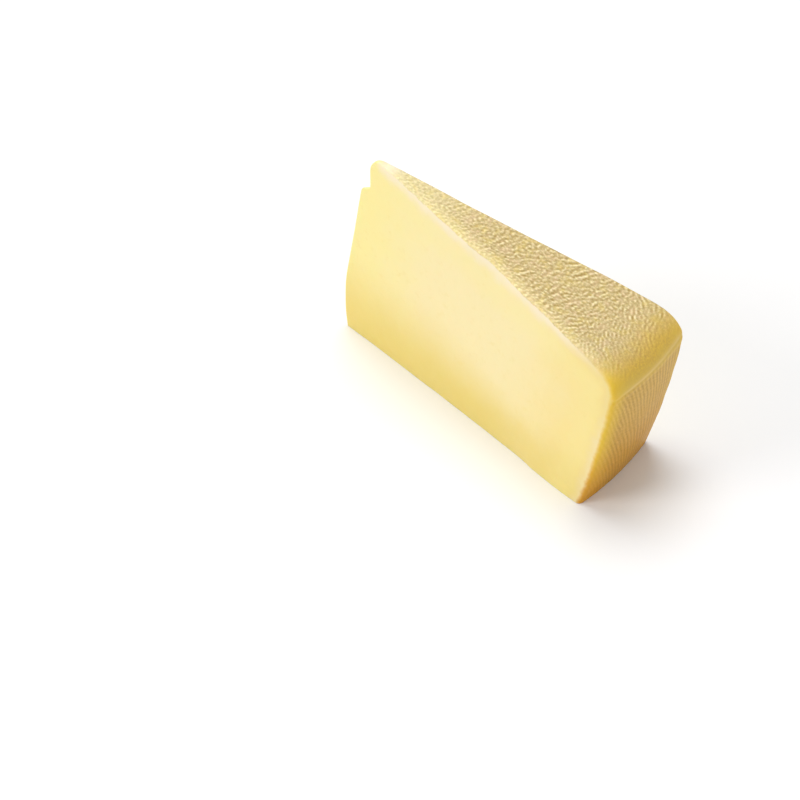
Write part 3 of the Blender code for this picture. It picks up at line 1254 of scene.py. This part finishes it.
@dataclass(frozen=True)
class CheeseFinish:
    """The finish of the whole chunk: paste on the cuts and rind outside."""

    paste: PasteFinish = PasteFinish()
    rind: RindFinish = RindFinish()
    rind_start: float = 0.00045
    rind_end: float = 0.00126
    rind_softens: Rise = Rise(0.150, 0.185, 0.00207)
    edge_in: Rise = Rise(0.0010, 0.0035)
    wide: Lumps = Lumps(0.006, 21.0, 2.0, 0.0022)
    narrow: Lumps = Lumps(0.0025, 22.0, 2.0, 0.0012)
    bend: float = 1.45
    soft_depth: float = 0.0035
    soft_colours: tuple[float, float, float] = (1.0, 0.62, 0.25)
    soft_share: float = 0.22
    grain_height: float = 0.00012

    def read(self, tree: Tree, name: str, key: str) -> Value:
        """Returns an attribute of the piece's points."""
        return tree.output("ShaderNodeAttribute", {"attribute_name": name}, {}, key)

    def marks(self, tree: Tree) -> Marks:
        """Reads the marks of the skin that the finishes use."""
        radius, depth, arc = tree.axes(self.read(tree, "wheel", "Vector"))
        values = {name: self.read(tree, name, "Fac") for name in ("inside", "edge", "seam", "relief")}
        spot = tree.output("ShaderNodeTexCoord", {}, {}, "Object")
        return Marks(spot=spot, radius=radius, depth=depth, arc=arc, **values)

    def material(self) -> bpy.types.Material:
        """Returns the material."""
        material = bpy.data.materials.new("parmesan")
        material.use_nodes = True
        material.node_tree.nodes.clear()
        tree = Tree(material.node_tree)
        marks = self.marks(tree)
        waver = self.wide.sway(marks.spot) + self.narrow.sway(marks.spot)
        inner = marks.inside + waver * self.edge_in.left(marks.edge)
        inner = inner.step(self.rind_start, self.rind_end + self.rind_softens.of(marks.radius))
        colour = tree.mix(inner, self.rind.colour(tree, marks), self.paste.colour(tree, marks))
        rough = self.rind.roughness(marks)
        rough = rough + (self.paste.roughness(marks) - rough) * inner
        high = self.rind.height(marks)
        high = high + (self.paste.height(marks) - high) * inner
        bump = {"Height": high, "Distance": self.grain_height, "Strength": 1.0}
        values = {
            "Base Color": colour,
            "Roughness": rough,
            "Normal": tree.output("ShaderNodeBump", {}, bump),
            "IOR": self.bend,
            "Subsurface Weight": self.soft_share,
            "Subsurface Radius": self.soft_colours,
            "Subsurface Scale": self.soft_depth,
        }
        shader = tree.output("ShaderNodeBsdfPrincipled", {"subsurface_method": "RANDOM_WALK"}, values)
        tree.node("ShaderNodeOutputMaterial", {}, {"Surface": shader})
        return material


# The studio


@dataclass(frozen=True)
class SoftLight:
    """A large soft lamp that looks at the chunk."""

    name: str
    place: tuple[float, float, float]
    size: float
    power: float
    colour: tuple[float, float, float] = (1.0, 1.0, 1.0)

    def build(self, target: Vector) -> bpy.types.Object:
        """Adds the lamp, turned towards the target."""
        data = bpy.data.lights.new(self.name, "AREA")
        data.shape = "DISK"
        data.size = self.size
        data.energy = self.power
        data.color = self.colour
        lamp = placed(self.name, data)
        lamp.location = self.place
        lamp.rotation_euler = (target - Vector(self.place)).to_track_quat("-Z", "Y").to_euler()
        return lamp


@dataclass(frozen=True)
class Studio:
    """A plain pale floor under soft light."""

    floor_size: float = 30.0
    floor_drop: float = 0.0001
    floor_rough: float = 0.7
    floor_gloss: float = 0.2
    target: tuple[float, float, float] = (0.0, 0.0, 0.05)
    floor_colour: Colour = paint(250, 250, 251)
    dome: float = 0.52
    lights: tuple[SoftLight, ...] = (
        SoftLight("key", (-1.3, -2.1, 1.5), 1.3, 24.0, (1.0, 0.99, 0.97)),
        SoftLight("top", (-0.5, 0.3, 2.6), 1.6, 36.0),
    )

    def build(self) -> None:
        """Adds the floor, the lamps and the pale surroundings."""
        half = self.floor_size / 2.0
        mesh = bpy.data.meshes.new("floor")
        sides = ((-half, -half), (half, -half), (half, half), (-half, half))
        mesh.from_pydata([(x, y, -self.floor_drop) for x, y in sides], [], [(0, 1, 2, 3)])
        floor = placed("floor", mesh)
        material = bpy.data.materials.new("floor")
        material.use_nodes = True
        shader = material.node_tree.nodes["Principled BSDF"]
        shader.inputs["Base Color"].default_value = self.floor_colour
        shader.inputs["Roughness"].default_value = self.floor_rough
        shader.inputs["Specular IOR Level"].default_value = self.floor_gloss
        mesh.materials.append(material)
        for light in self.lights:
            light.build(Vector(self.target))
        world = bpy.data.worlds.new("surroundings")
        world.use_nodes = True
        background = world.node_tree.nodes["Background"].inputs
        background["Color"].default_value = (1.0, 1.0, 1.0, 1.0)
        background["Strength"].default_value = self.dome
        bpy.context.scene.world = world


@dataclass(frozen=True)
class Viewpoint:
    """The camera, above and in front of the cut, with the rim to the right."""

    place: tuple[float, float, float] = (0.6768, -0.9092, 1.1079)
    azimuth: float = math.radians(39.097)
    pitch: float = math.radians(44.301)
    lens: float = 134.135
    sensor: float = 36.0
    clip: Span = (0.05, 100.0)

    def build(self) -> bpy.types.Object:
        """Adds the camera and makes it the scene's own."""
        data = bpy.data.cameras.new("viewpoint")
        data.lens = self.lens
        data.sensor_width = self.sensor
        data.clip_start, data.clip_end = self.clip
        camera = placed("viewpoint", data)
        camera.location = self.place
        camera.rotation_euler = (math.pi / 2.0 - self.pitch, 0.0, self.azimuth)
        bpy.context.scene.camera = camera
        return camera


def main() -> None:
    """Builds the studio and the chunk."""
    logging.basicConfig(level=logging.INFO, format="%(message)s", stream=sys.stdout)
    bpy.context.scene.view_settings.view_transform = "Standard"
    Viewpoint().build()
    Studio().build()
    LOG.info("camera, floor and lamps are in place")
    piece = ParmesanChunk().build(CheeseFinish().material(), ClothRelief())
    triangles = sum(len(face.vertices) - 2 for face in piece.data.polygons)
    LOG.info("%s: %d points, %d triangles", piece.name, len(piece.data.vertices), triangles)


if __name__ == "__main__":
    main()
